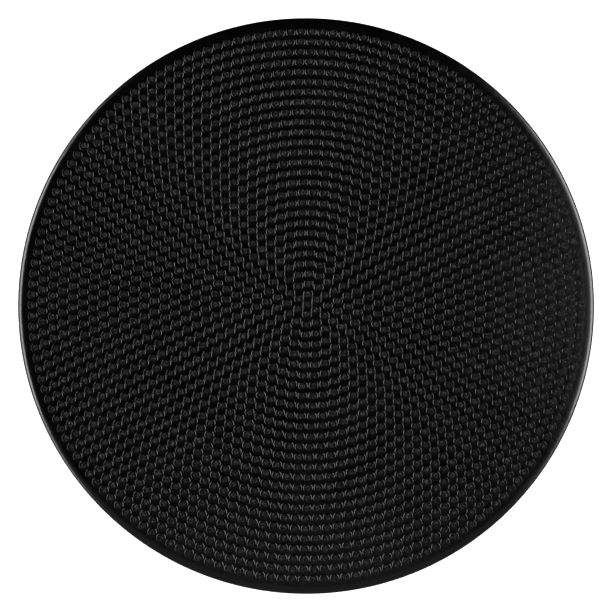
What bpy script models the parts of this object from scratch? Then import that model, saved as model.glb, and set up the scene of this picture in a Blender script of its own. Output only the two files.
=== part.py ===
"""Wobble cushion: a round inflatable balance disc with nubs on top and nodules beneath.

Blender 4.5, metres, +Z up. The origin lies on the floor under the middle of the disc.
Two welded shells hold the air. They are soft, so each is made as the zones that move
against each other: a face, a shoulder and a side wall. A needle valve with a pull-out
plug sits in the lower side wall at +X.
"""

import math

import bmesh
import bpy
from mathutils import Matrix

# The whole cushion
SEAM_RADIUS = 0.165  # to the crest of the seam bead
HEIGHT = 0.060  # from the nodules' tips to the small nubs' tips
NODULE_HEIGHT = 0.005
SEAM_HEIGHT = (HEIGHT + NODULE_HEIGHT) / 2
HALF_THICKNESS = HEIGHT - SEAM_HEIGHT  # seam plane to the middle of either face
WALL = 0.0025
GAP = 0.0003  # left between two pieces that touch
SEGMENTS = 60  # round the cushion
VALVE_SEGMENTS = 20  # round the valve's pieces

# One half of the outline, from the seam plane: a wall arc, a shoulder arc, a crown arc
SKIN_RADIUS = 0.1648
SHOULDER_ROUNDING = 0.003
SHOULDER_R = 0.1614  # centre of the shoulder arc
SHOULDER_Z = 0.0172
CROWN_RADIUS = (SHOULDER_R**2 + (HALF_THICKNESS - SHOULDER_Z) ** 2 - SHOULDER_ROUNDING**2) / (
    2 * (HALF_THICKNESS - SHOULDER_Z - SHOULDER_ROUNDING)
)
WALL_RADIUS = ((SKIN_RADIUS - SHOULDER_R) ** 2 + SHOULDER_Z**2 - SHOULDER_ROUNDING**2) / (
    2 * (SKIN_RADIUS - SHOULDER_R - SHOULDER_ROUNDING)
)
CROWN_ANGLE = math.acos(SHOULDER_R / (CROWN_RADIUS - SHOULDER_ROUNDING))
WALL_ANGLE = math.asin(SHOULDER_Z / (WALL_RADIUS - SHOULDER_ROUNDING))
FLAT_ANGLE = math.radians(89.6)  # the crown is flat above this normal, about 12 mm out
CROWN_STEPS = 5
SHOULDER_STEPS = 6
WALL_STEPS = 2

# Where the zones meet, as the angle of the outward normal above the seam plane
FACE_CUT = math.asin(0.0168 / WALL_RADIUS)  # 16.8 mm from the seam plane
FACE_CUT_GAP = GAP / 2 / (WALL_RADIUS - WALL)
BOTTOM_EDGE_R = 0.146  # outer edge of the underside face
BOTTOM_CUT = math.acos(BOTTOM_EDGE_R / CROWN_RADIUS)
BOTTOM_CUT_GAP = GAP / 2 / (CROWN_RADIUS - WALL)
SEAM_CUT = math.asin(0.002 / WALL_RADIUS)

# The seam: a flat weld flange between the shells with a rounded bead outside
SEAM_INNER_R = 0.159
SEAM_HALF_HEIGHT = 0.0015
BEAD_R = 0.001

# Underside nodules: a middle one and rings of six, twelve, eighteen and so on
NODULE_RINGS = 6
NODULE_PITCH = 0.021
NODULE_BASE_R = 0.006
NODULE_TIP_R = 0.004
NODULE_SIDES = 8
CONTACT_R = 0.055  # nodules inside this stand on one plane
PATTERN_TURN = math.radians(86.83)  # the direction of one straight row of nodules

# The needle valve, turned about a line along +X; lengths run out along it
VALVE_Z = -0.0082  # from the seam plane
FLANGE_FACE_X = 0.1649
FLANGE_R = 0.0050
FLANGE_THICKNESS = 0.0014
SLEEVE_R = 0.0039
SLEEVE_END_X = 0.1530
RECESS_R = 0.0034
RECESS_X = 0.1637
POCKET_R = 0.0026
POCKET_X = 0.1540
THROAT_R = 0.0016
CHANNEL_R = 0.0010
PLUG_HEAD_R = 0.0031
PLUG_STEM_R = 0.0007
PLUG_TIP_X = 0.1570
RIM_ROUNDING = 0.0003


def empty_scene():
    """Removes every object, so that the script can be run again."""
    for item in list(bpy.data.objects):
        bpy.data.objects.remove(item, do_unlink=True)
    for group in list(bpy.data.collections):
        bpy.data.collections.remove(group)


def new_collection(name):
    """A collection in the scene."""
    group = bpy.data.collections.new(name)
    bpy.context.scene.collection.children.link(group)
    return group


def new_material(name, colour, roughness):
    """A Principled material with no metal in it."""
    material = bpy.data.materials.new(name)
    material.use_nodes = True
    shader = material.node_tree.nodes["Principled BSDF"]
    shader.inputs["Base Color"].default_value = (*colour, 1.0)
    shader.inputs["Roughness"].default_value = roughness
    shader.inputs["Metallic"].default_value = 0.0
    material.diffuse_color = (*colour, 1.0)
    return material


def new_axis(name, location, parent=None):
    """An empty on a joint's axis, which the moving pieces hang from."""
    axis = bpy.data.objects.new(name, None)
    axis.empty_display_size = 0.02
    axis.location = location
    axis.parent = parent
    parts.objects.link(axis)
    return axis


def skin_point(angle, depth=0.0):
    """The point (r, z), depth below the upper skin, whose outward normal is angle above level."""
    if angle >= CROWN_ANGLE:
        centre_r = 0.0
        centre_z = HALF_THICKNESS - CROWN_RADIUS
        radius = CROWN_RADIUS
    elif angle >= WALL_ANGLE:
        centre_r = SHOULDER_R
        centre_z = SHOULDER_Z
        radius = SHOULDER_ROUNDING
    else:
        centre_r = SKIN_RADIUS - WALL_RADIUS
        centre_z = 0.0
        radius = WALL_RADIUS
    reach = radius - depth
    return centre_r + reach * math.cos(angle), centre_z + reach * math.sin(angle)


def angle_steps(start, end):
    """Angles from start down to end, with even steps on each of the three arcs."""
    arcs = (
        (FLAT_ANGLE, CROWN_ANGLE, CROWN_STEPS),
        (CROWN_ANGLE, WALL_ANGLE, SHOULDER_STEPS),
        (WALL_ANGLE, 0.0, WALL_STEPS),
    )
    angles = [start]
    for high, low, steps in arcs:
        top = min(start, high)
        bottom = max(end, low)
        if top <= bottom:
            continue
        count = math.ceil(steps * (top - bottom) / (high - low))
        angles += [top + (bottom - top) * i / count for i in range(1, count + 1)]
    return angles


def shell_section(start, end):
    """A closed outline of the upper shell from start down to end, outer side first."""
    angles = angle_steps(start, end)
    outer = [skin_point(a) for a in angles]
    inner = [skin_point(a, WALL) for a in reversed(angles)]
    return outer + inner


def face_section(end):
    """The same outline from the axis, with a small flat in the middle of the face."""
    ring = shell_section(FLAT_ANGLE, end)
    outside_z = HALF_THICKNESS
    inside_z = HALF_THICKNESS - WALL
    flat = [(0.0, outside_z), (ring[0][0], outside_z)]
    flat_inside = [(ring[-1][0], inside_z), (0.0, inside_z)]
    return flat + ring[1:-1] + flat_inside


def upside_down(section):
    """The section mirrored in the seam plane, still with its outer side run downwards."""
    return [(r, -z) for r, z in reversed(section)]


def turned(name, section, material, segments=SEGMENTS, group=None):
    """A piece turned about local Z from a closed or axis-touching outline of (r, z) points."""
    outline = bmesh.new()
    points = [outline.verts.new((r, 0.0, z)) for r, z in section]
    for first, second in zip(points, points[1:]):
        outline.edges.new((first, second))
    if section[0][0] > 0.0 or section[-1][0] > 0.0:
        outline.edges.new((points[-1], points[0]))
    mesh = bpy.data.meshes.new(name)
    outline.to_mesh(mesh)
    outline.free()
    piece = bpy.data.objects.new(name, mesh)
    (group or parts).objects.link(piece)
    mesh.materials.append(material)
    screw = piece.modifiers.new("Turn", "SCREW")
    screw.axis = "Z"
    screw.steps = segments
    screw.render_steps = segments
    screw.use_merge_vertices = True
    screw.merge_threshold = 0.00001
    screw.use_smooth_shade = True
    return piece


def as_cutter(piece):
    """Marks a piece as a tool that shapes others and isn't part of the cushion."""
    piece.hide_render = True
    piece.display_type = "WIRE"
    return piece


def combine(piece, tool, operation):
    """Cuts a tool from a piece, or joins it on."""
    boolean = piece.modifiers.new(tool.name, "BOOLEAN")
    boolean.operation = operation
    boolean.solver = "EXACT"
    boolean.object = tool


def along_x(piece, parent, origin_x=0.0):
    """Lays a piece turned about local Z along +X, on the valve's centre line."""
    piece.parent = parent
    piece.rotation_euler = (0.0, math.pi / 2, 0.0)
    piece.location = (-origin_x, 0.0, 0.0)


def nodule_places():
    """The (x, y) of every nodule: ring n holds 6 n of them, n pitches out."""
    places = [(0.0, 0.0)]
    for ring in range(1, NODULE_RINGS + 1):
        for i in range(6 * ring):
            angle = PATTERN_TURN + math.tau * i / (6 * ring)
            places.append((ring * NODULE_PITCH * math.cos(angle), ring * NODULE_PITCH * math.sin(angle)))
    return places


def make_nodules(material):
    """All the underside nodules as one tool, as tapered studs rooted in the skin."""
    studs = bmesh.new()
    for x, y in nodule_places():
        out = math.hypot(x, y)
        skin_z = -skin_point(math.acos(out / CROWN_RADIUS))[1]
        tip_z = skin_z - NODULE_HEIGHT
        if out < CONTACT_R:
            tip_z = -SEAM_HEIGHT
        root_z = skin_z + WALL / 2
        bmesh.ops.create_cone(
            studs,
            cap_ends=True,
            segments=NODULE_SIDES,
            radius1=NODULE_TIP_R,
            radius2=NODULE_BASE_R,
            depth=root_z - tip_z,
            matrix=Matrix.Translation((x, y, (root_z + tip_z) / 2)),
        )
    mesh = bpy.data.meshes.new("nodules")
    studs.to_mesh(mesh)
    studs.free()
    mesh.materials.append(material)
    tool = bpy.data.objects.new("nodules", mesh)
    tool.location = (0.0, 0.0, SEAM_HEIGHT)
    tools.objects.link(tool)
    return as_cutter(tool)


def make_bottom_face():
    """The underside membrane with its moulded nodules; it lies on the floor."""
    vinyl = new_material("bottom_face", (0.012, 0.012, 0.013), 0.5)
    face = turned("bottom_face", upside_down(face_section(BOTTOM_CUT + BOTTOM_CUT_GAP)), vinyl)
    face.location = (0.0, 0.0, SEAM_HEIGHT)
    combine(face, make_nodules(vinyl), "UNION")


def make_lower_shoulder(parent):
    """The stiff curved edge of the lower shell, between its face and its side wall."""
    section = upside_down(shell_section(BOTTOM_CUT - BOTTOM_CUT_GAP, FACE_CUT + FACE_CUT_GAP))
    vinyl = new_material("lower_shoulder", (0.012, 0.012, 0.013), 0.45)
    turned("lower_shoulder", section, vinyl).parent = parent


def make_lower_side_wall(parent):
    """The soft wall under the seam, with a stepped hole for the valve."""
    section = upside_down(shell_section(FACE_CUT - FACE_CUT_GAP, SEAM_CUT))
    vinyl = new_material("lower_side_wall", (0.012, 0.012, 0.013), 0.42)
    wall = turned("lower_side_wall", section, vinyl)
    wall.parent = parent
    flange_back_x = FLANGE_FACE_X - FLANGE_THICKNESS
    step_x = flange_back_x - GAP
    outside_x = SEAM_RADIUS + 0.005
    hole = [
        (0.0, outside_x),
        (FLANGE_R + GAP, outside_x),
        (FLANGE_R + GAP, step_x),
        (SLEEVE_R + GAP, step_x),
        (SLEEVE_R + GAP, SLEEVE_END_X),
        (0.0, SLEEVE_END_X),
    ]
    cutter = as_cutter(turned("valve_hole", hole, vinyl, VALVE_SEGMENTS, tools))
    cutter.rotation_euler = (0.0, math.pi / 2, 0.0)
    cutter.location = (0.0, 0.0, SEAM_HEIGHT + VALVE_Z)
    combine(wall, cutter, "DIFFERENCE")


def make_weld_seam(parent):
    """The flat weld flange that joins the shells, with a rounded bead outside."""
    section = [(SEAM_INNER_R, -SEAM_HALF_HEIGHT), (SEAM_INNER_R, SEAM_HALF_HEIGHT)]
    bead_steps = 6
    for i in range(bead_steps + 1):
        angle = math.pi / 2 - math.pi * i / bead_steps
        r = SEAM_RADIUS - BEAD_R + BEAD_R * math.cos(angle)
        section.append((r, SEAM_HALF_HEIGHT * math.sin(angle)))
    vinyl = new_material("weld_seam", (0.010, 0.010, 0.011), 0.4)
    turned("weld_seam", section, vinyl).parent = parent


def make_upper_side_wall(parent):
    """The soft wall above the seam."""
    section = shell_section(FACE_CUT - FACE_CUT_GAP, SEAM_CUT)
    vinyl = new_material("upper_side_wall", (0.012, 0.012, 0.013), 0.42)
    turned("upper_side_wall", section, vinyl).parent = parent


def make_upper_face(parent):
    """The membrane that the user stands or sits on, out to the curved edge."""
    vinyl = new_material("upper_face", (0.014, 0.014, 0.015), 0.45)
    turned("upper_face", face_section(FACE_CUT + FACE_CUT_GAP), vinyl).parent = parent


def make_valve_seat(parent):
    """The moulded boss in the wall: a flange, a sleeve and a lip that keeps the core in."""
    section = [
        (RECESS_R, FLANGE_FACE_X),
        (FLANGE_R - RIM_ROUNDING, FLANGE_FACE_X),
        (FLANGE_R, FLANGE_FACE_X - RIM_ROUNDING),
        (FLANGE_R, FLANGE_FACE_X - FLANGE_THICKNESS),
        (SLEEVE_R, FLANGE_FACE_X - FLANGE_THICKNESS),
        (SLEEVE_R, SLEEVE_END_X),
        (THROAT_R, SLEEVE_END_X),
        (THROAT_R, POCKET_X),
        (POCKET_R, POCKET_X),
        (POCKET_R, RECESS_X),
        (RECESS_R, RECESS_X),
    ]
    vinyl = new_material("valve_seat", (0.016, 0.016, 0.017), 0.38)
    along_x(turned("valve_seat", section, vinyl, VALVE_SEGMENTS), parent)


def make_valve_core(parent):
    """The self-sealing rubber bush with the needle's channel through it."""
    outer_r = POCKET_R - GAP
    low_x = POCKET_X + GAP
    high_x = RECESS_X - GAP
    section = [
        (CHANNEL_R, high_x),
        (outer_r - RIM_ROUNDING, high_x),
        (outer_r, high_x - RIM_ROUNDING),
        (outer_r, low_x + RIM_ROUNDING),
        (outer_r - RIM_ROUNDING, low_x),
        (CHANNEL_R, low_x),
    ]
    rubber = new_material("valve_core", (0.03, 0.028, 0.026), 0.7)
    along_x(turned("valve_core", section, rubber, VALVE_SEGMENTS), parent)


def make_valve_plug(parent, origin_x):
    """The mushroom stopper: a thin head in the recess and a pin in the core's channel."""
    head_back_x = RECESS_X + GAP
    section = [
        (0.0, FLANGE_FACE_X),
        (PLUG_HEAD_R - RIM_ROUNDING, FLANGE_FACE_X),
        (PLUG_HEAD_R, FLANGE_FACE_X - RIM_ROUNDING),
        (PLUG_HEAD_R, head_back_x),
        (PLUG_STEM_R, head_back_x),
        (PLUG_STEM_R, PLUG_TIP_X + PLUG_STEM_R),
        (PLUG_STEM_R / 2, PLUG_TIP_X),
        (0.0, PLUG_TIP_X),
    ]
    plastic = new_material("valve_plug", (0.02, 0.02, 0.021), 0.35)
    along_x(turned("valve_plug", section, plastic, VALVE_SEGMENTS), parent, origin_x)


empty_scene()
parts = new_collection("wobble_cushion")
tools = new_collection("cutters")

# The joint axes, each hung from the one below it
sink_axis = new_axis("floor_sink_axis", (0.0, 0.0, SEAM_HEIGHT))
tilt_x_axis = new_axis("tilt_x_axis", (0.0, 0.0, 0.0), sink_axis)
tilt_y_axis = new_axis("tilt_y_axis", (0.0, 0.0, 0.0), tilt_x_axis)
valve_axis = new_axis("valve_axis", (0.0, 0.0, VALVE_Z), sink_axis)
plug_axis = new_axis("plug_pull_axis", (FLANGE_FACE_X, 0.0, 0.0), valve_axis)

make_bottom_face()
make_lower_shoulder(sink_axis)
make_lower_side_wall(sink_axis)
make_weld_seam(tilt_x_axis)
make_upper_side_wall(tilt_x_axis)
make_upper_face(tilt_y_axis)
make_valve_seat(valve_axis)
make_valve_core(valve_axis)
make_valve_plug(plug_axis, FLANGE_FACE_X)
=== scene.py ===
"""Wobble cushion: the nubbed upper shell, lower shell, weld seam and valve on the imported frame."""

import math

import bmesh
import bpy
from mathutils import Matrix, Vector
from mathutils.geometry import delaunay_2d_cdt


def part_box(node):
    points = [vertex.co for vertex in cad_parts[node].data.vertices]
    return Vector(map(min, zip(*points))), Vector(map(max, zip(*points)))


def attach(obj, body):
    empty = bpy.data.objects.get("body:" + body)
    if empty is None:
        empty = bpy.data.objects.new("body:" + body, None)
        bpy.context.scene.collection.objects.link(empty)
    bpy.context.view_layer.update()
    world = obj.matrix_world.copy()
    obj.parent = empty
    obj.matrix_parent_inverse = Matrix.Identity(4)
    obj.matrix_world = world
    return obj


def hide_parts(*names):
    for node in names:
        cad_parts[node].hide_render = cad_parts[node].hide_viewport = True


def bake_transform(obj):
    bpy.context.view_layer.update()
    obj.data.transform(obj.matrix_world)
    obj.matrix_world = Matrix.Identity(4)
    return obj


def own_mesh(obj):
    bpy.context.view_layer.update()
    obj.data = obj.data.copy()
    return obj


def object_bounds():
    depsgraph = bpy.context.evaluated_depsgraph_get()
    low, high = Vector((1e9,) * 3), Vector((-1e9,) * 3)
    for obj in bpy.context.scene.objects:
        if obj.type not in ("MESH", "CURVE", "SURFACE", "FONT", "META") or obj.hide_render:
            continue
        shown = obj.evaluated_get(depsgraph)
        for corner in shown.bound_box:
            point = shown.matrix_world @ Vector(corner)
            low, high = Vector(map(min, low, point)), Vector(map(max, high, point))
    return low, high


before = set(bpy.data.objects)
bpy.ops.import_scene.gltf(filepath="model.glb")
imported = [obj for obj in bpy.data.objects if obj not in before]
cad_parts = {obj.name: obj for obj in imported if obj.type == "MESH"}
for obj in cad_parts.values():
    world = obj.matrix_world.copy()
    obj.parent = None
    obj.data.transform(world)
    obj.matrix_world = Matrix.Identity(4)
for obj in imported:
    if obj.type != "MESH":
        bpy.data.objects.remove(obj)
cad_low, cad_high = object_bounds()

# ---------------------------------------------------------------------------------------------
# Sizes, in metres. The seam plane, the top and the valve's place and outer sizes come from the
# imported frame
# ---------------------------------------------------------------------------------------------
seam_low, seam_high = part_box("weld_seam")
seat_low, seat_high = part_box("valve_seat")
core_low, core_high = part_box("valve_core")
plug_low, plug_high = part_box("valve_plug")

SEAM_Z = (seam_low.z + seam_high.z) / 2
SEAM_R = seam_high.x
TOP_Z = cad_high.z
SKIN_R = 0.1648  # outside of the wall at the seam plane
WALL = 0.0025  # thickness of both shells

# Shoulders: middle of the tight arc, its radius, and the radius of the wider arc that leads on to it
UPPER_SHOULDER = (0.1620, 0.0166, 0.0026, 0.0075)
LOWER_SHOULDER = (0.1608, 0.0172, 0.0036, 0.0036)
BROW_ANGLE = math.radians(66)  # of the outward normal where the wider arc ends

NUB_H = 0.00085
NUB_DISH = 0.00002  # how far the middle of a tip lies under its edge
NUB_PITCH = 0.00578
NUB_RINGS = 27
NUB_SIDES = 12
NUB_CREASE = math.radians(31)  # keeps the bevel round a nub's tip crisp
PATTERN_TURN = math.radians(86.83)  # the direction of one straight row of nubs
# Each ring of one nub: (radius, height over the membrane as a share of the nub's height)
NUB_PROFILE = ((0.00284, 0.0), (0.00270, 0.834), (0.00253, 0.985), (0.00172, 1.0), (0.00118, 1.0))

ROUND = 324  # points round the upper shell outside the nubs
LOWER_ROUND = 288  # points round the lower shell
FACE_EDGE_R = 0.1597  # outer edge of the web that holds the nubs
MARGIN_RADII = (0.1575, 0.1587)  # rings of points in the smooth margin outside the nubs
UPPER_INNER_RADII = (0.13, 0.09, 0.05)  # rings of points on the inside of the upper face

HALF_TOP = TOP_Z - NUB_H - SEAM_Z  # membrane's middle over the seam plane

NODULE_RINGS = 6
NODULE_PITCH = 0.021
NODULE_SIDES = 24
NODULE_FOOT_R = 0.0068  # where a nodule's fillet meets the membrane
NODULE_H = 0.005
# Each ring of one nodule: a soft fillet, a tapered flank, a rounded edge and a slightly domed tip
NODULE_PROFILE = (
    (0.00640, 0.012), (0.00605, 0.06), (0.00578, 0.16), (0.00545, 0.34), (0.00510, 0.56),
    (0.00480, 0.74), (0.00452, 0.86), (0.00415, 0.935), (0.00365, 0.975), (0.00290, 0.993),
    (0.00180, 1.0),
)
CONTACT_R = 0.055  # nodules inside this stand on the floor
BOTTOM_EDGE_R = 0.146  # where the underside meets the lower wall
WEB_STEP = 0.005  # between the loose points of the underside's web
WEB_ROW = 0.866  # between rows of loose points, as a share of the step
WEB_EDGE_GAP = 0.003  # kept clear inside the underside's edge
WEB_NODULE_GAP = 0.0085  # kept clear round a nodule's middle
LOWER_INNER_RADII = (BOTTOM_EDGE_R, 0.12, 0.08, 0.04)  # rings of points inside the underside

HALF_BOTTOM = 0.0275  # seam plane to the membrane's middle

SEAM_INNER_R = SEAM_R - 0.006
BEAD_R = 0.0010
SEAM_HALF_HEIGHT = 0.0015
PARTING_DEPTH = 0.00012

VALVE_X = plug_high.x  # the flange's and the plug's outer face
VALVE_Z = (plug_low.z + plug_high.z) / 2
LAY_VALVE = Matrix.Translation((0.0, 0.0, VALVE_Z)) @ Matrix.Rotation(math.pi / 2, 4, "Y")
VALVE_SIDES = 64
FLANGE_THICKNESS = 0.0014
SLEEVE_R = 0.0039
RECESS_R = 0.0034
RECESS_X = 0.1637
POCKET_R = 0.0026
THROAT_R = 0.0016
CHANNEL_R = 0.0010
LIP = 0.001  # depth of the lip that keeps the bush in
STEM_R = 0.0007
HOLE_R = 0.0042  # in the lower wall, under the flange


# ---------------------------------------------------------------------------------------------
# The outline: arcs that meet smoothly, given by the angle of the outward normal above level
# ---------------------------------------------------------------------------------------------
class Outline:
    """One half of the cushion's section over the seam plane: crown, brow, shoulder and wall."""

    def __init__(self, half, shoulder):
        r, z, tight, wide = shoulder
        brow_r = r - (wide - tight) * math.cos(BROW_ANGLE)
        brow_z = z - (wide - tight) * math.sin(BROW_ANGLE)
        rise = half - brow_z
        out = SKIN_R - r
        self.half = half
        self.crown = (brow_r**2 + rise**2 - wide**2) / (2 * (rise - wide))
        self.wall = (out**2 + z**2 - tight**2) / (2 * (out - tight))
        self.crown_angle = math.acos(brow_r / (self.crown - wide))
        self.wall_angle = math.asin(z / (self.wall - tight))
        # (lowest angle it serves, middle r, middle z, radius) from the top down
        self.arcs = (
            (self.crown_angle, 0.0, half - self.crown, self.crown),
            (BROW_ANGLE, brow_r, brow_z, wide),
            (self.wall_angle, r, z, tight),
            (-math.pi, SKIN_R - self.wall, 0.0, self.wall),
        )

    def point(self, angle, depth=0.0):
        """(r, z over the seam plane) where the outward normal is angle above level."""
        for lowest, r, z, radius in self.arcs:
            if angle >= lowest:
                break
        reach = radius - depth
        return r + reach * math.cos(angle), z + reach * math.sin(angle)

    def face_z(self, r, depth=0.0):
        """Height over the seam plane of the crown at r."""
        radius = self.crown - depth
        return self.half - self.crown + math.sqrt(radius * radius - r * r)

    def face_angle(self, r, depth=0.0):
        return math.acos(r / (self.crown - depth))

    def face_slope(self, r):
        return -r / math.sqrt(self.crown**2 - r * r)


UPPER = Outline(HALF_TOP, UPPER_SHOULDER)
LOWER = Outline(HALF_BOTTOM, LOWER_SHOULDER)


# ---------------------------------------------------------------------------------------------
# Mesh helpers
# ---------------------------------------------------------------------------------------------
def make_object(name, verts, faces, materials, indices=None, sharp=math.radians(50)):
    mesh = bpy.data.meshes.new(name)
    mesh.from_pydata(verts, [], faces)
    for material in materials:
        mesh.materials.append(material)
    if indices is not None:
        mesh.polygons.foreach_set("material_index", indices)
    mesh.validate()
    mesh.update()
    mesh.shade_smooth()
    mesh.set_sharp_from_angle(angle=sharp)
    piece = bpy.data.objects.new(name, mesh)
    bpy.context.scene.collection.objects.link(piece)
    return piece


def ring(verts, r, z, count, turn=0.0):
    """Adds a level ring of points and returns their indices."""
    first = len(verts)
    for i in range(count):
        a = turn + math.tau * i / count
        verts.append((r * math.cos(a), r * math.sin(a), z))
    return list(range(first, first + count))


def bridge(faces, upper, lower):
    """Quads between two rings of the same count; faces look outward when upper is above."""
    n = len(upper)
    for i in range(n):
        j = (i + 1) % n
        faces.append((upper[i], lower[i], lower[j], upper[j]))


def spread(start, end, count):
    """count values after start, evenly on to end."""
    return [start + (end - start) * (i + 1) / count for i in range(count)]


# ---------------------------------------------------------------------------------------------
# Materials
# ---------------------------------------------------------------------------------------------
class Nodes:
    """A material's node tree with short calls."""

    def __init__(self, name):
        self.material = bpy.data.materials.new(name)
        self.material.use_nodes = True
        self.tree = self.material.node_tree
        self.shader = self.tree.nodes["Principled BSDF"]
        self.coords = self.tree.nodes.new("ShaderNodeTexCoord").outputs["Object"]

    def link(self, a, b):
        self.tree.links.new(a, b)

    def noise(self, scale, detail=4.0, rough=0.6, stretch=None, distort=0.0):
        node = self.tree.nodes.new("ShaderNodeTexNoise")
        node.inputs["Scale"].default_value = scale
        node.inputs["Detail"].default_value = detail
        node.inputs["Roughness"].default_value = rough
        node.inputs["Distortion"].default_value = distort
        self.link(self.placed(stretch), node.inputs["Vector"])
        return node.outputs["Fac"]

    def placed(self, stretch):
        """Object coordinates, stretched where that is asked for."""
        if stretch is None:
            return self.coords
        mapping = self.tree.nodes.new("ShaderNodeMapping")
        mapping.inputs["Scale"].default_value = stretch
        self.link(self.coords, mapping.inputs["Vector"])
        return mapping.outputs["Vector"]

    def spots(self, scale):
        """Distance from the nearest of many scattered points."""
        node = self.tree.nodes.new("ShaderNodeTexVoronoi")
        node.inputs["Scale"].default_value = scale
        self.link(self.coords, node.inputs["Vector"])
        return node.outputs["Distance"]

    def remap(self, value, low, high, to_low, to_high, smooth_step=False):
        node = self.tree.nodes.new("ShaderNodeMapRange")
        node.interpolation_type = "SMOOTHSTEP" if smooth_step else "LINEAR"
        node.inputs["From Min"].default_value = low
        node.inputs["From Max"].default_value = high
        node.inputs["To Min"].default_value = to_low
        node.inputs["To Max"].default_value = to_high
        self.link(value, node.inputs["Value"])
        return node.outputs["Result"]

    def math(self, operation, a, b=None):
        node = self.tree.nodes.new("ShaderNodeMath")
        node.operation = operation
        for socket, value in zip(node.inputs, (a, b)):
            if value is None:
                continue
            if isinstance(value, (int, float)):
                socket.default_value = value
            else:
                self.link(value, socket)
        return node.outputs["Value"]

    def mix(self, factor, a, b):
        node = self.tree.nodes.new("ShaderNodeMix")
        node.data_type = "RGBA"
        colours = [s for s in node.inputs if s.type == "RGBA"]
        for socket, value in zip(colours, (a, b)):
            if isinstance(value, tuple):
                socket.default_value = (*value, 1.0)
            else:
                self.link(value, socket)
        self.link(factor, node.inputs["Factor"])
        return [s for s in node.outputs if s.type == "RGBA"][0]

    def bump(self, height, distance, strength=1.0, under=None):
        node = self.tree.nodes.new("ShaderNodeBump")
        node.inputs["Strength"].default_value = strength
        node.inputs["Distance"].default_value = distance
        self.link(height, node.inputs["Height"])
        if under is not None:
            self.link(under, node.inputs["Normal"])
        return node.outputs["Normal"]

    def finish(self, colour, roughness, normal, specular=0.5):
        self.link(colour, self.shader.inputs["Base Color"])
        self.link(roughness, self.shader.inputs["Roughness"])
        self.link(normal, self.shader.inputs["Normal"])
        self.shader.inputs["Specular IOR Level"].default_value = specular
        return self.material


def vinyl(name, dark, light, rough_low, rough_high, grain=0.00002):
    """Soft moulded PVC: fine grain, slow changes of gloss and a few pale specks of dust."""
    n = Nodes(name)
    slow = n.noise(38.0, 5.0, 0.6)
    fine = n.noise(900.0, 3.0, 0.6)
    colour = n.mix(n.remap(slow, 0.35, 0.68, 0.0, 1.0), dark, light)
    dust = n.remap(n.spots(260.0), 0.035, 0.06, 1.0, 0.0)
    rare = n.remap(n.noise(55.0, 2.0, 0.5), 0.60, 0.66, 0.0, 0.5)
    colour = n.mix(n.math("MULTIPLY", dust, rare), colour, (0.10, 0.10, 0.10))
    roughness = n.remap(n.math("ADD", slow, n.math("MULTIPLY", fine, 0.5)), 0.5, 1.0, rough_low, rough_high)
    normal = n.bump(n.noise(170.0, 2.0, 0.5), grain * 6.0, 1.0)
    normal = n.bump(n.noise(420.0, 3.0, 0.55), grain * 2.2, 1.0, normal)
    normal = n.bump(fine, grain, 1.0, normal)
    return n.finish(colour, roughness, normal)


def nub_top_material(name, dark, light, relief):
    """The rough tips of the nubs: mottled, dimpled and scuffed, different on every nub. The pale mottle and
    the streaks that run up and down the tips are partly the tips' own scuffed tone and partly painted
    glints from the lamps at the sides.
    """
    n = Nodes(name)
    each = n.noise(150.0, 2.0, 0.5)
    blotch = n.noise(1150.0, 2.0, 0.6, stretch=(1.25, 0.8, 1.0), distort=0.6)
    squiggle = n.noise(620.0, 1.0, 0.5, stretch=(1.2, 0.7, 1.0), distort=1.4)
    ridge = n.math("ABSOLUTE", n.math("SUBTRACT", squiggle, 0.5))
    ridge = n.remap(ridge, 0.0, 0.06, 1.0, 0.0, True)
    fine = n.noise(2600.0, 2.0, 0.6)
    mottle_and_glints = n.math("ADD", n.remap(blotch, 0.38, 0.64, 0.0, 0.65), n.math("MULTIPLY", ridge, 0.40))
    mottle_and_glints = n.math("ADD", mottle_and_glints, n.remap(each, 0.38, 0.62, -0.07, 0.07))
    # The pale tone painted here is partly real scuffing and partly painted glints: its streaks run up and
    # down, across the side lamps
    colour = n.mix(n.remap(mottle_and_glints, 0.53, 0.73, 0.0, 1.0, True), dark, light)
    speck = n.remap(n.spots(330.0), 0.10, 0.18, 1.0, 0.0)
    rare = n.remap(n.noise(95.0, 2.0, 0.5), 0.57, 0.63, 0.0, 0.6)
    colour = n.mix(n.math("MULTIPLY", speck, rare), colour, (0.14, 0.14, 0.14))
    roughness = n.remap(mottle_and_glints, 0.1, 0.9, 0.36, 0.48)
    normal = n.bump(mottle_and_glints, relief, 1.0)
    normal = n.bump(fine, 0.00003, 0.6, normal)
    return n.finish(colour, roughness, normal, 0.08)


def core_material():
    """Matt self-sealing rubber."""
    n = Nodes("core_rubber")
    slow = n.noise(900.0, 4.0, 0.6)
    fine = n.noise(4200.0, 2.0, 0.6)
    colour = n.mix(n.remap(slow, 0.35, 0.7, 0.0, 1.0), (0.022, 0.020, 0.019), (0.036, 0.033, 0.030))
    roughness = n.remap(slow, 0.3, 0.7, 0.62, 0.82)
    return n.finish(colour, roughness, n.bump(fine, 0.00003, 1.0), 0.3)


def plug_material():
    """Harder moulded plastic, a little glossier, with turned-in flow marks."""
    n = Nodes("plug_plastic")
    flow = n.noise(500.0, 3.0, 0.6, stretch=(0.4, 1.6, 1.6))
    fine = n.noise(3600.0, 2.0, 0.6)
    colour = n.mix(n.remap(flow, 0.35, 0.7, 0.0, 1.0), (0.016, 0.016, 0.017), (0.026, 0.026, 0.028))
    roughness = n.remap(flow, 0.3, 0.7, 0.30, 0.42)
    return n.finish(colour, roughness, n.bump(fine, 0.000012, 1.0))


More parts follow.
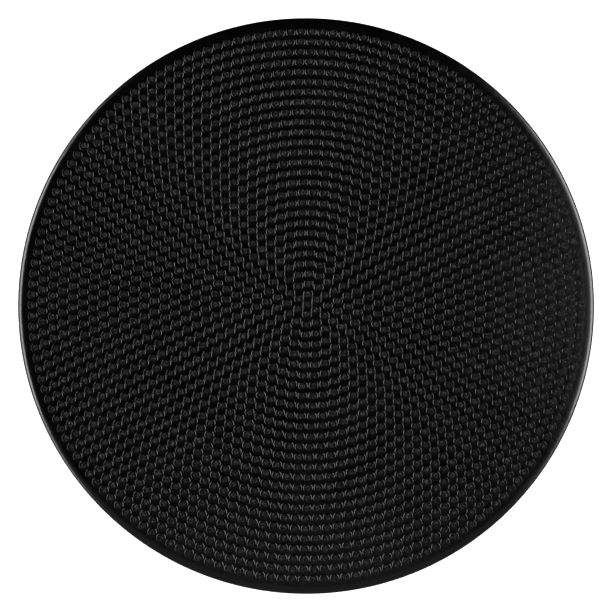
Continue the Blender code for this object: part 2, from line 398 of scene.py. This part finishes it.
BLACK = (0.0002, 0.0002, 0.0002)
shell_vinyl = vinyl("shell_vinyl", (0.0004, 0.0004, 0.0005), (0.0012, 0.0012, 0.0013), 0.14, 0.22)
nub_flank_vinyl = vinyl("nub_flanks", (0.0003, 0.0003, 0.0004), (0.0010, 0.0010, 0.0011), 0.14, 0.22)
underside_vinyl = vinyl(
    "underside_vinyl", (0.0036, 0.0036, 0.0038), (0.0070, 0.0070, 0.0073), 0.34, 0.50, 0.00003
)
seam_vinyl = vinyl("seam_vinyl", (0.0012, 0.0012, 0.0013), (0.0024, 0.0024, 0.0026), 0.18, 0.28)
valve_vinyl = vinyl(
    "valve_vinyl", (0.0050, 0.0050, 0.0053), (0.0080, 0.0080, 0.0084), 0.28, 0.38, 0.000012
)
nub_tips = nub_top_material("nub_tips", BLACK, (0.0520, 0.0520, 0.0532), 0.00034)
# The tip edge copy has half the pale tone: painted shade for each tip darkening towards its edge; its lower
# relief is the real grain thinning out
nub_tip_edge_painted_shade = nub_top_material("nub_tip_edge_painted_shade", BLACK, (0.0240, 0.0240, 0.0247), 0.00022)
core_rubber = core_material()
plug_plastic = plug_material()


# ---------------------------------------------------------------------------------------------
# The upper shell: a web with the nubs standing in it, the shoulder and the wall, 2.5 mm thick
# ---------------------------------------------------------------------------------------------
def nub_places():
    """(x, y, direction) of every nub: ring n holds 6 n, n pitches out."""
    places = [(0.0, 0.0, PATTERN_TURN)]
    for n in range(1, NUB_RINGS + 1):
        for i in range(6 * n):
            a = PATTERN_TURN + math.tau * i / (6 * n)
            places.append((n * NUB_PITCH * math.cos(a), n * NUB_PITCH * math.sin(a), a))
    return places


def make_upper_shell():
    """The web with its nubs, the shoulder and the wall, closed by an inner surface."""
    verts = []
    faces = []
    flat = []
    edges = []
    owner = []
    places = nub_places()
    base_r = NUB_PROFILE[0][0]
    for k, (x, y, a) in enumerate(places):
        first = len(flat)
        for j in range(NUB_SIDES):
            t = a + math.tau * j / NUB_SIDES
            flat.append(Vector((x + base_r * math.cos(t), y + base_r * math.sin(t))))
            owner.append(k)
            edges.append((first + j, first + (j + 1) % NUB_SIDES))
    first = len(flat)
    for j in range(ROUND):
        t = PATTERN_TURN + math.tau * j / ROUND
        flat.append(Vector((FACE_EDGE_R * math.cos(t), FACE_EDGE_R * math.sin(t))))
        owner.append(-1)
        edges.append((first + j, first + (j + 1) % ROUND))
    edge_ring = list(range(first, first + ROUND))
    # Points between the last nubs keep the smooth margin even
    last = 6 * NUB_RINGS
    for i in range(last):
        t = PATTERN_TURN + math.tau * (i + 0.5) / last
        for r in MARGIN_RADII:
            flat.append(Vector((r * math.cos(t), r * math.sin(t))))
            owner.append(-2)
    found = delaunay_2d_cdt(flat, edges, [], 1, 1e-7)
    if len(found[0]) != len(flat):
        raise RuntimeError("the web's points were merged")
    for p in flat:
        r = p.length
        verts.append((p.x, p.y, SEAM_Z + UPPER.face_z(r)))
    material = []
    for a, b, c in found[2]:
        if owner[a] >= 0 and owner[a] == owner[b] == owner[c]:
            continue
        faces.append((a, b, c))
        material.append(0)
    # The nubs: each level runs from the membrane at the base to the nub's own flat tip
    for k, (x, y, a) in enumerate(places):
        r = math.hypot(x, y)
        slope = UPPER.face_slope(r)
        centre_z = SEAM_Z + UPPER.face_z(r)
        normal = Vector((-slope * x / r, -slope * y / r, 1.0)).normalized() if r else Vector((0, 0, 1))
        lower = [k * NUB_SIDES + j for j in range(NUB_SIDES)]
        for level, (level_r, share) in enumerate(NUB_PROFILE[1:]):
            tip_edge = level == len(NUB_PROFILE) - 2
            upper = []
            for j in range(NUB_SIDES):
                t = a + math.tau * j / NUB_SIDES
                px = x + level_r * math.cos(t)
                py = y + level_r * math.sin(t)
                surface = SEAM_Z + UPPER.face_z(math.hypot(px, py))
                plane = centre_z
                if r:
                    plane += slope * ((px - x) * x / r + (py - y) * y / r)
                z = surface + (plane - surface) * share
                upper.append(len(verts))
                verts.append(tuple(Vector((px, py, z)) + normal * NUB_H * share))
            for j in range(NUB_SIDES):
                i = (j + 1) % NUB_SIDES
                faces.append((upper[j], lower[j], lower[i], upper[i]))
                # Material 3, on the ring round each tip, is the darker copy with painted shade
                material.append(3 if tip_edge else 2)
            lower = upper
        middle = len(verts)
        verts.append(tuple(Vector((x, y, centre_z)) + normal * (NUB_H - NUB_DISH)))
        for j in range(NUB_SIDES):
            faces.append((middle, lower[j], lower[(j + 1) % NUB_SIDES]))
            material.append(1)
    # Shoulder and wall down to the seam
    start = UPPER.face_angle(FACE_EDGE_R)
    angles = spread(start, UPPER.crown_angle, 1)
    angles += spread(UPPER.crown_angle, BROW_ANGLE, 6)
    angles += spread(BROW_ANGLE, UPPER.wall_angle, 9)
    angles += spread(UPPER.wall_angle, 0.0, 7)
    before = len(faces)
    above = edge_ring
    for angle in angles:
        r, z = UPPER.point(angle)
        below = ring(verts, r, SEAM_Z + z, ROUND, PATTERN_TURN)
        bridge(faces, above, below)
        above = below
    # Back up inside, and across under the face
    for angle in reversed([start] + angles[::3]):
        r, z = UPPER.point(angle, WALL)
        below = ring(verts, r, SEAM_Z + z, ROUND, PATTERN_TURN)
        bridge(faces, above, below)
        above = below
    for r in UPPER_INNER_RADII:
        below = ring(verts, r, SEAM_Z + UPPER.face_z(r, WALL), ROUND, PATTERN_TURN)
        bridge(faces, above, below)
        above = below
    middle = len(verts)
    verts.append((0.0, 0.0, SEAM_Z + UPPER.face_z(0.0, WALL)))
    for j in range(ROUND):
        faces.append((above[j], middle, above[(j + 1) % ROUND]))
    material += [0] * (len(faces) - before)
    slots = (shell_vinyl, nub_tips, nub_flank_vinyl, nub_tip_edge_painted_shade)
    return make_object("nubbed_upper_shell", verts, faces, slots, material, NUB_CREASE)


# ---------------------------------------------------------------------------------------------
# The lower shell: the walls and the edge of the underside, then the face with its nodules
# ---------------------------------------------------------------------------------------------
def make_lower_wall():
    """The wall and shoulder under the seam, in to the edge of the underside."""
    verts = []
    faces = []
    cut = LOWER.face_angle(BOTTOM_EDGE_R)
    angles = [0.0] + spread(0.0, LOWER.wall_angle, 7)
    angles += spread(LOWER.wall_angle, LOWER.crown_angle, 10)
    angles += spread(LOWER.crown_angle, cut, 4)
    rings = []
    for angle in angles:
        r, z = LOWER.point(angle)
        rings.append(ring(verts, r, SEAM_Z - z, LOWER_ROUND))
    inner_cut = LOWER.face_angle(BOTTOM_EDGE_R, WALL)
    inner = [inner_cut] + [a for a in reversed(angles[::3]) if a < inner_cut]
    for angle in inner:
        r, z = LOWER.point(angle, WALL)
        rings.append(ring(verts, r, SEAM_Z - z, LOWER_ROUND))
    for a, b in zip(rings, rings[1:] + rings[:1]):
        bridge(faces, a, b)
    return make_object("lower_shell_wall", verts, faces, (shell_vinyl,))


def make_underside():
    """The face that lies on the floor, with its nodules, closed by an inner surface."""
    verts = []
    faces = []
    flat = []
    edges = []
    owner = []
    places = []
    for n in range(NODULE_RINGS + 1):
        for i in range(max(1, 6 * n)):
            a = PATTERN_TURN + math.tau * i / max(1, 6 * n)
            places.append((n * NODULE_PITCH * math.cos(a), n * NODULE_PITCH * math.sin(a), a))
    for k, (x, y, a) in enumerate(places):
        first = len(flat)
        for j in range(NODULE_SIDES):
            t = a + math.tau * j / NODULE_SIDES
            flat.append(Vector((x + NODULE_FOOT_R * math.cos(t), y + NODULE_FOOT_R * math.sin(t))))
            owner.append(k)
            edges.append((first + j, first + (j + 1) % NODULE_SIDES))
    first = len(flat)
    for j in range(LOWER_ROUND):
        t = math.tau * j / LOWER_ROUND
        flat.append(Vector((BOTTOM_EDGE_R * math.cos(t), BOTTOM_EDGE_R * math.sin(t))))
        owner.append(-1)
        edges.append((first + j, first + (j + 1) % LOWER_ROUND))
    edge_ring = list(range(first, first + LOWER_ROUND))
    # Loose points in the web keep its triangles small enough to follow the crown
    reach = int(BOTTOM_EDGE_R / WEB_STEP) + 1
    for i in range(-reach, reach + 1):
        for j in range(-reach, reach + 1):
            x = (i + 0.5 * (j % 2)) * WEB_STEP
            y = j * WEB_STEP * WEB_ROW
            if math.hypot(x, y) > BOTTOM_EDGE_R - WEB_EDGE_GAP:
                continue
            if min(math.hypot(x - px, y - py) for px, py, _ in places) < WEB_NODULE_GAP:
                continue
            flat.append(Vector((x, y)))
            owner.append(-2)
    found = delaunay_2d_cdt(flat, edges, [], 1, 1e-7)
    if len(found[0]) != len(flat):
        raise RuntimeError("the underside's points were merged")
    for p in flat:
        verts.append((p.x, p.y, SEAM_Z - LOWER.face_z(p.length)))
    for a, b, c in found[2]:
        if owner[a] >= 0 and owner[a] == owner[b] == owner[c]:
            continue
        faces.append((a, c, b))
    # The nodules
    for k, (x, y, a) in enumerate(places):
        r = math.hypot(x, y)
        base_z = SEAM_Z - LOWER.face_z(r)
        tip_z = base_z - NODULE_H
        if r < CONTACT_R:
            tip_z = cad_low.z
        lower = [k * NODULE_SIDES + j for j in range(NODULE_SIDES)]
        for level_r, share in NODULE_PROFILE:
            upper = []
            for j in range(NODULE_SIDES):
                t = a + math.tau * j / NODULE_SIDES
                px = x + level_r * math.cos(t)
                py = y + level_r * math.sin(t)
                surface = SEAM_Z - LOWER.face_z(math.hypot(px, py))
                upper.append(len(verts))
                verts.append((px, py, surface + (tip_z - surface) * share))
            for j in range(NODULE_SIDES):
                i = (j + 1) % NODULE_SIDES
                faces.append((lower[j], upper[j], upper[i], lower[i]))
            lower = upper
        middle = len(verts)
        verts.append((x, y, tip_z))
        for j in range(NODULE_SIDES):
            faces.append((lower[j], middle, lower[(j + 1) % NODULE_SIDES]))
    # The inner surface
    above = edge_ring
    for r in LOWER_INNER_RADII:
        below = ring(verts, r, SEAM_Z - LOWER.face_z(r, WALL), LOWER_ROUND)
        bridge(faces, below, above)
        above = below
    middle = len(verts)
    verts.append((0.0, 0.0, SEAM_Z - LOWER.face_z(0.0, WALL)))
    for j in range(LOWER_ROUND):
        faces.append((middle, above[j], above[(j + 1) % LOWER_ROUND]))
    return make_object("nodule_underside", verts, faces, (underside_vinyl,))


# ---------------------------------------------------------------------------------------------
# Turned pieces: the weld seam, and the valve along +X
# ---------------------------------------------------------------------------------------------
def turned(name, section, material, count, closed=True, lay=None, sharp=math.radians(40)):
    """A body turned about Z from an outline of (r, z); an open outline starts and ends on the axis."""
    verts = []
    faces = []
    rings = []
    for r, z in section:
        if r == 0.0:
            rings.append([len(verts)])
            verts.append((0.0, 0.0, z))
        else:
            rings.append(ring(verts, r, z, count))
    pairs = list(zip(rings, rings[1:]))
    if closed:
        pairs.append((rings[-1], rings[0]))
    for a, b in pairs:
        for i in range(count):
            j = (i + 1) % count
            face = [a[i % len(a)], b[i % len(b)], b[j % len(b)], a[j % len(a)]]
            face = list(dict.fromkeys(face))
            if len(face) > 2:
                faces.append(face)
    if lay is not None:
        verts = [tuple(lay @ Vector(v)) for v in verts]
    piece = make_object(name, verts, faces, (material,), sharp=sharp)
    tidy = bmesh.new()
    tidy.from_mesh(piece.data)
    bmesh.ops.recalc_face_normals(tidy, faces=tidy.faces)
    tidy.to_mesh(piece.data)
    tidy.free()
    return piece


def rounded(corners, radius, steps=5):
    """The outline with each corner that asks for it turned on an arc; a corner is (r, z, round)."""
    out = []
    n = len(corners)
    for i, (r, z, wanted) in enumerate(corners):
        if not wanted:
            out.append((r, z))
            continue
        here = Vector((r, z))
        back = (Vector(corners[i - 1][:2]) - here).normalized()
        on = (Vector(corners[(i + 1) % n][:2]) - here).normalized()
        half = back.angle(on) / 2
        reach = radius / math.tan(half)
        start = here + back * reach
        end = here + on * reach
        centre = here + (back + on).normalized() * radius / math.sin(half)
        a = start - centre
        b = end - centre
        for k in range(steps + 1):
            way = a.lerp(b, k / steps).normalized() * radius
            out.append(tuple(centre + way))
    return out


def make_seam():
    """The weld flange with its rounded bead and a fine parting line along the crest."""
    section = [(SEAM_INNER_R, SEAM_Z + SEAM_HALF_HEIGHT)]
    steps = 22
    for i in range(steps + 1):
        a = math.pi / 2 - math.pi * i / steps
        r = SEAM_R - BEAD_R + BEAD_R * math.cos(a)
        if i == steps // 2:
            r -= PARTING_DEPTH
        section.append((r, SEAM_Z + SEAM_HALF_HEIGHT * math.sin(a)))
    section.append((SEAM_INNER_R, SEAM_Z - SEAM_HALF_HEIGHT))
    return turned("weld_bead", section, seam_vinyl, 360)


def make_valve():
    """The boss with its flange, the rubber bush in its pocket and the stopper."""
    flange_r = seat_high.y
    flange_back = VALVE_X - FLANGE_THICKNESS
    lip_x = seat_low.x + LIP
    seat = rounded(
        [
            (RECESS_R, VALVE_X, True), (flange_r, VALVE_X, True), (flange_r, flange_back, False),
            (SLEEVE_R, flange_back, False), (SLEEVE_R, seat_low.x, True), (THROAT_R, seat_low.x, True),
            (THROAT_R, lip_x, False), (POCKET_R, lip_x, False),
            (POCKET_R, RECESS_X, True), (RECESS_R, RECESS_X, False),
        ],
        0.0002,
    )
    seat_piece = turned("valve_boss", seat, valve_vinyl, VALVE_SIDES, lay=LAY_VALVE)
    core_r = core_high.y
    core = rounded(
        [
            (CHANNEL_R, core_high.x, True), (core_r, core_high.x, True),
            (core_r, core_low.x, True), (CHANNEL_R, core_low.x, True),
        ],
        0.0003,
    )
    core_piece = turned("valve_bush", core, core_rubber, VALVE_SIDES, lay=LAY_VALVE)
    head_r = plug_high.y
    head_back = RECESS_X + 0.0003
    # The head has a shallow dished ring so that a nail can find it
    head = [
        (0.0, VALVE_X - 0.00012), (0.0010, VALVE_X - 0.00010), (0.0014, VALVE_X - 0.00002),
        (0.0018, VALVE_X), (head_r - 0.0003, VALVE_X), (head_r - 0.00016, VALVE_X - 0.00004),
        (head_r - 0.00005, VALVE_X - 0.00014), (head_r, VALVE_X - 0.0003), (head_r, head_back + 0.0001),
        (head_r - 0.0001, head_back), (STEM_R + 0.0003, head_back), (STEM_R, head_back - 0.0003),
        (STEM_R, plug_low.x + STEM_R), (STEM_R * 0.8, plug_low.x + STEM_R * 0.4),
        (STEM_R * 0.4, plug_low.x + STEM_R * 0.08), (0.0, plug_low.x),
    ]
    plug_piece = turned("valve_stopper", head, plug_plastic, VALVE_SIDES, closed=False, lay=LAY_VALVE)
    return seat_piece, core_piece, plug_piece


def cut_valve_hole(piece):
    """Opens the lower wall under the valve's flange."""
    outside = SEAM_R + 0.01
    inside = seat_low.x - 0.002
    section = [(0.0, outside), (HOLE_R, outside), (HOLE_R, inside), (0.0, inside)]
    hole = turned("valve_hole", section, shell_vinyl, 48, closed=False, lay=LAY_VALVE)
    cut = piece.modifiers.new("valve_hole", "BOOLEAN")
    cut.operation = "DIFFERENCE"
    cut.solver = "EXACT"
    cut.object = hole
    bpy.context.view_layer.update()
    depsgraph = bpy.context.evaluated_depsgraph_get()
    mesh = bpy.data.meshes.new_from_object(piece.evaluated_get(depsgraph))
    piece.modifiers.clear()
    old = piece.data
    piece.data = mesh
    bpy.data.meshes.remove(old)
    mesh.name = piece.name
    bpy.data.objects.remove(hole, do_unlink=True)
    mesh.shade_smooth()
    mesh.set_sharp_from_angle(angle=math.radians(40))


upper_shell = make_upper_shell()
lower_wall = make_lower_wall()
cut_valve_hole(lower_wall)
underside = make_underside()
seam = make_seam()
valve_boss, valve_bush, valve_stopper = make_valve()

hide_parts("upper_face", "upper_side_wall")
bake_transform(upper_shell)

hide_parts("lower_shoulder", "lower_side_wall")
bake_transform(lower_wall)

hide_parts("bottom_face")
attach(underside, "base")
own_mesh(underside)

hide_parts("weld_seam")
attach(seam, "rim")

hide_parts("valve_seat")
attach(valve_boss, "lower_shell")
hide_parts("valve_core")
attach(valve_bush, "lower_shell")
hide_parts("valve_plug")
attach(valve_stopper, "plug")


# ---------------------------------------------------------------------------------------------
# The stage, lights and camera
# ---------------------------------------------------------------------------------------------
def paper_material(name, colour, strength):
    """Seamless paper that is lit evenly all over."""
    material = bpy.data.materials.new(name)
    material.use_nodes = True
    shader = material.node_tree.nodes["Principled BSDF"]
    shader.inputs["Base Color"].default_value = (0.8, 0.8, 0.8, 1.0)
    shader.inputs["Roughness"].default_value = 1.0
    shader.inputs["Specular IOR Level"].default_value = 0.0
    shader.inputs["Emission Color"].default_value = (*colour, 1.0)
    shader.inputs["Emission Strength"].default_value = strength
    return material


def make_cove():
    """A pale floor that curves up all round into a backdrop."""
    flat_r = 3.0
    curve = 1.0
    height = 4.0
    steps = 12
    count = 96
    section = [(0.0, 0.0), (flat_r, 0.0)]
    for i in range(1, steps + 1):
        a = math.pi / 2 * i / steps
        section.append((flat_r + curve * math.sin(a), curve - curve * math.cos(a)))
    section += [(flat_r + curve, height), (0.0, height)]
    verts = []
    faces = []
    rings = []
    for r, z in section:
        if r == 0.0:
            rings.append([len(verts)])
            verts.append((0.0, 0.0, cad_low.z + z))
        else:
            rings.append(ring(verts, r, cad_low.z + z, count))
    for a, b in zip(rings, rings[1:]):
        for i in range(count):
            j = (i + 1) % count
            face = list(dict.fromkeys([a[i % len(a)], a[j % len(a)], b[j % len(b)], b[i % len(b)]]))
            if len(face) > 2:
                faces.append(face)
    paper = paper_material("cove_paper", (1.0, 1.0, 1.0), 0.86)
    cove = make_object("studio_cove", verts, faces, (paper,))
    for kind in ("visible_diffuse", "visible_glossy", "visible_transmission", "visible_shadow"):
        setattr(cove, kind, False)


def softbox(name, azimuth, elevation, distance, width, height, radiance):
    """An area light that faces the cushion. Radiance is the brightness of its surface."""
    a = math.radians(azimuth)
    e = math.radians(elevation)
    toward = Vector((math.cos(a) * math.cos(e), math.sin(a) * math.cos(e), math.sin(e)))
    light = bpy.data.lights.new(name, "AREA")
    light.shape = "RECTANGLE"
    light.size = width
    light.size_y = height
    light.energy = radiance * math.pi * width * height
    item = bpy.data.objects.new(name, light)
    item.location = Vector((0.0, 0.0, SEAM_Z)) + toward * distance
    item.rotation_euler = toward.to_track_quat("Z", "Y").to_euler()
    bpy.context.scene.collection.objects.link(item)
    item.visible_camera = False


make_cove()
# name, azimuth and elevation in degrees, distance, width, height, radiance
softbox("left_key", 175, 28, 1.6, 1.4, 0.70, 5.6)
softbox("left_wide", 176, 28, 1.6, 2.7, 0.70, 2.3)
softbox("left_low", 178, 11, 1.6, 2.8, 0.58, 3.0)
softbox("right_key", 8, 29, 1.6, 1.4, 0.70, 3.4)
softbox("right_wide", 5, 29, 1.6, 2.3, 0.70, 1.4)
softbox("right_low", 3, 12, 1.6, 2.4, 0.56, 0.9)


def make_world():
    """Dark above and behind, a dim even fill from the front and a glow high on the right."""
    world = bpy.data.worlds.new("studio")
    bpy.context.scene.world = world
    world.use_nodes = True
    tree = world.node_tree
    background = tree.nodes["Background"]
    background.inputs["Color"].default_value = (1.0, 1.0, 1.0, 1.0)
    coords = tree.nodes.new("ShaderNodeTexCoord")
    split = tree.nodes.new("ShaderNodeSeparateXYZ")
    tree.links.new(coords.outputs["Generated"], split.inputs["Vector"])

    def ramp(value, low, high, to_low, to_high):
        node = tree.nodes.new("ShaderNodeMapRange")
        node.interpolation_type = "SMOOTHSTEP"
        for name, number in zip(("From Min", "From Max", "To Min", "To Max"), (low, high, to_low, to_high)):
            node.inputs[name].default_value = number
        tree.links.new(value, node.inputs["Value"])
        return node.outputs["Result"]

    def combine(operation, a, b):
        node = tree.nodes.new("ShaderNodeMath")
        node.operation = operation
        tree.links.new(a, node.inputs[0])
        tree.links.new(b, node.inputs[1])
        return node.outputs["Value"]

    front = ramp(split.outputs["Y"], -0.18, -0.30, 0.009, 0.25)
    soft_east = ramp(split.outputs["X"], 0.29, 0.36, 0.0, 0.75)
    strong_east = ramp(split.outputs["X"], 0.50, 0.90, 0.0, 3.0)
    east = combine("ADD", soft_east, strong_east)
    side = combine("DIVIDE", split.outputs["Y"], split.outputs["X"])
    level = combine("MULTIPLY", ramp(side, -0.50, -0.22, 0.0, 1.0), ramp(side, 1.20, 0.75, 0.0, 1.0))
    above = ramp(split.outputs["Z"], 0.0, 0.2, 0.0, 1.0)
    glow = combine("MULTIPLY", combine("MULTIPLY", east, level), above)
    tree.links.new(combine("ADD", front, glow), background.inputs["Strength"])


make_world()
scene = bpy.context.scene
scene.view_settings.view_transform = "Standard"
scene.view_settings.look = "None"
scene.view_settings.exposure = 0.0
scene.view_settings.gamma = 1.0

CAMERA_DISTANCE = 1.3
HALF_WIDTH = 0.17590  # of the frame, at the seam's height
camera_data = bpy.data.cameras.new("camera")
camera = bpy.data.objects.new("camera", camera_data)
bpy.context.scene.collection.objects.link(camera)
elevation = math.radians(87.7)
azimuth = math.radians(-128.6)
direction = Vector((
    math.cos(azimuth) * math.cos(elevation),
    math.sin(azimuth) * math.cos(elevation),
    math.sin(elevation),
))
target = Vector((-0.00130, 0.00102, SEAM_Z))  # the cushion sits a little off the middle
camera.location = target + direction * CAMERA_DISTANCE
up = Vector((0.0, 1.0, 0.0))
right = up.cross(direction).normalized()
true_up = direction.cross(right).normalized()
camera.matrix_world = Matrix((
    (right.x, true_up.x, direction.x, camera.location.x),
    (right.y, true_up.y, direction.y, camera.location.y),
    (right.z, true_up.z, direction.z, camera.location.z),
    (0.0, 0.0, 0.0, 1.0),
))
camera_data.sensor_width = 36.0
camera_data.lens = camera_data.sensor_width / 2 * CAMERA_DISTANCE / HALF_WIDTH
camera_data.clip_end = 20.0
scene.camera = camera
